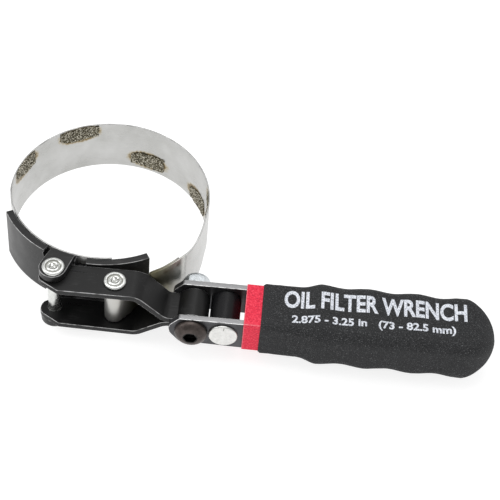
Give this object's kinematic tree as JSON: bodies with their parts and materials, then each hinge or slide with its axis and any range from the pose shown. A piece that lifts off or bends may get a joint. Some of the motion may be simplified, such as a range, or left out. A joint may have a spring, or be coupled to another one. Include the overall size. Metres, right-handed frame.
{
  "type": "oil filter wrench",
  "caption": "Band-type oil filter wrench: a steel strap loop with grit pads, tightened by a hinged yoke, on a foam-gripped handle that swivels in a fork.",
  "frame": {"origin": "under the middle of the tool's box, at the height of its lowest point, the underside of the shoe rivet", "axes": "+X along the handle to the end of the grip, +Y across the loop away from the lever, +Z along the loop's own axis, up as the tool lies"},
  "size_m": [0.2032, 0.1026, 0.034],
  "materials": {
    "stainless_band": "satin stainless spring strip",
    "grit_coating": "rough bonded grit",
    "black_oxide_steel": "black oxide, semi-gloss, worn bright on the edges",
    "zinc_plate": "bright zinc plating",
    "black_oxide_screw": "brown-black oxide, satin",
    "arm_steel": "dark grey steel, satin, bright edges",
    "black_roller": "matt black",
    "nylon_insert": "natural nylon",
    "red_vinyl": "crimson vinyl, fine texture",
    "black_core": "black moulding, hidden in the grip",
    "black_foam_grip": "dense black foam with fine grey speckle"
  },
  "bodies": {
    "loop": {"shoe": "black_oxide_steel", "band_loop": "stainless_band", "grit_patch_1": "grit_coating", "grit_patch_2": "grit_coating", "grit_patch_3": "grit_coating", "grit_patch_4": "grit_coating", "grit_patch_5": "grit_coating", "shoe_pivot_rivet": "zinc_plate"},
    "lever": {"yoke_strap": "black_oxide_steel", "band_pivot_rivet": "zinc_plate", "band_tail": "stainless_band"},
    "handle": {"fork_arm_front": "arm_steel", "fork_arm_back": "arm_steel", "pivot_screw": "black_oxide_screw", "lock_nut": "zinc_plate", "lock_nut_insert": "nylon_insert", "spacer_roller": "black_roller", "spacer_rivet": "zinc_plate", "grip_collar": "red_vinyl", "handle_core": "black_core", "foam_grip": "black_foam_grip"}
  },
  "joints": [
    {"name": "lever_pivot", "type": "hinge", "parent": "loop", "child": "lever", "pos_m": [-0.07675, -0.03546, 0.01745], "axis": [0, 0, 1], "range_deg": [-75, 0], "deforming": ["band_tail"]},
    {"name": "handle_swivel", "type": "hinge", "parent": "lever", "child": "handle", "pos_m": [-0.02025, -0.03696, 0.01595], "axis": [0, 1, 0], "range_deg": [-90, 90]}
  ]
}
